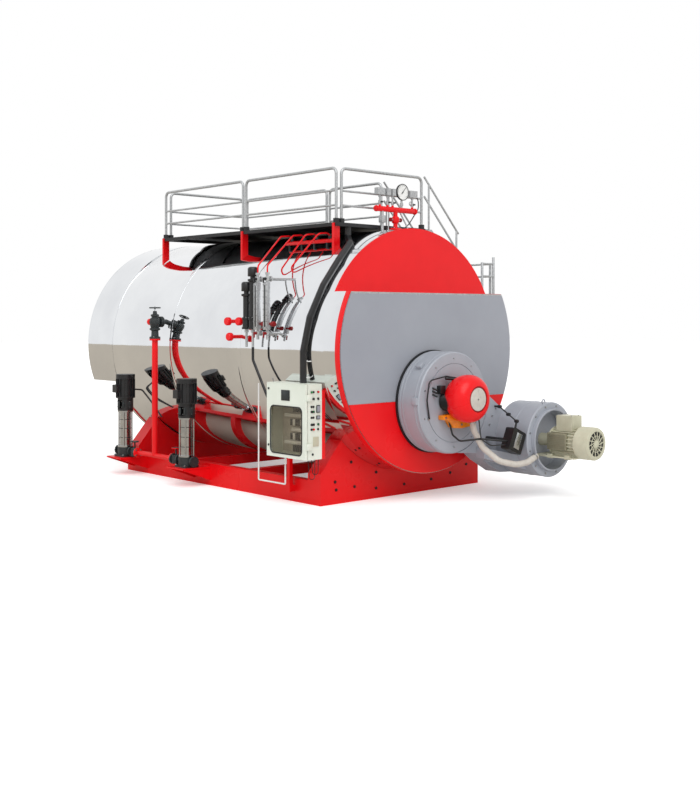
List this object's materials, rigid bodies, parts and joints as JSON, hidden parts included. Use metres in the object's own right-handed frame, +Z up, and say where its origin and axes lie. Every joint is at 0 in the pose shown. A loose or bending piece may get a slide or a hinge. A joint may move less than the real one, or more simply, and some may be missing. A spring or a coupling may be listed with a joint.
{
  "type": "industrial fire-tube steam boiler",
  "caption": "Horizontal fire-tube steam boiler on a steel skid, with burner and fan, feed pumps, level columns, control cabinet, walkway and stair.",
  "frame": {"origin": "on the ground, midway under the front saddle of the skid", "axes": "+Z up, -Y towards the burner end, +X towards the stair side"},
  "size_m": [3.093, 5.654, 3.1802],
  "materials": {
    "red_paint": "gloss red paint",
    "mirror_cladding": "mirror-polished stainless sheet",
    "door_grey": "satin grey paint",
    "burner_grey": "satin light grey paint",
    "galvanised": "galvanised steel",
    "stainless": "brushed stainless",
    "deck_black": "matt black paint",
    "cast_dark": "dark painted casting",
    "black_plastic": "matt black plastic",
    "cabinet_cream": "powder coat",
    "motor_cream": "satin enamel",
    "orange_paint": "gloss paint",
    "smoked_glass": "smoked pane",
    "white_hose": "off-white sleeve"
  },
  "bodies": {
    "boiler": {"skid_rail_left": "red_paint", "skid_rail_right": "red_paint", "skid_cross_members": "red_paint", "front_saddle": "red_paint", "rear_saddle": "red_paint", "pump_shelves": "red_paint", "drum_shell": "mirror_cladding", "front_tube_plate": "cast_dark", "rear_end_plate": "mirror_cladding", "front_upper_plate": "red_paint", "front_smoke_box": "mirror_cladding", "front_rim": "red_paint", "front_door": "door_grey", "front_lower_plate": "red_paint", "rear_smoke_box": "mirror_cladding", "rear_cover": "mirror_cladding", "deck_floor": "deck_black", "deck_brackets": "red_paint", "guard_near_side": "galvanised", "guard_far_side": "galvanised", "guard_rear_end": "galvanised", "guard_front_end": "galvanised", "stair_stringers": "galvanised", "stair_treads": "galvanised", "stair_landing": "galvanised", "landing_guard": "galvanised", "stair_handrails": "galvanised", "lower_stringers": "galvanised", "lower_treads": "galvanised", "steam_header": "red_paint", "pressure_gauge": "black_plastic", "pressure_switches": "galvanised", "pump_bases": "cast_dark", "pump_sleeves": "stainless", "pump_motors": "black_plastic", "feed_pipe": "red_paint", "feed_valve": "cast_dark", "level_columns": "galvanised", "level_probes": "black_plastic", "cabinet_box": "cabinet_cream", "cabinet_post": "red_paint", "cabinet_hinges": "galvanised", "burner_flange": "black_plastic", "burner_housing": "burner_grey", "burner_cap": "red_paint", "fan_scroll": "burner_grey", "air_duct": "burner_grey", "fan_motor": "motor_cream", "motor_cowl": "motor_cream", "vent_manifold": "red_paint", "pipe_end_caps": "red_paint", "cabinet_gear": "black_plastic", "cable_bundle": "black_plastic", "cabinet_conduit": "white_hose", "burner_bracket": "orange_paint", "burner_hose": "white_hose", "servo_box": "black_plastic"},
    "cabinet_door": {"cabinet_door": "cabinet_cream", "cabinet_window": "smoked_glass"},
    "feed_handwheel": {"feed_handwheel": "cast_dark"}
  },
  "joints": [
    {"name": "cabinet_door_hinge", "type": "hinge", "parent": "boiler", "child": "cabinet_door", "pos_m": [-1.34, -0.202, 0.79], "axis": [0, 0, 1], "range_deg": [0, 115]},
    {"name": "feed_valve_wheel", "type": "hinge", "parent": "boiler", "child": "feed_handwheel", "pos_m": [-1.285, 2.3775, 1.83], "axis": [0, 0, 1], "continuous": true}
  ]
}
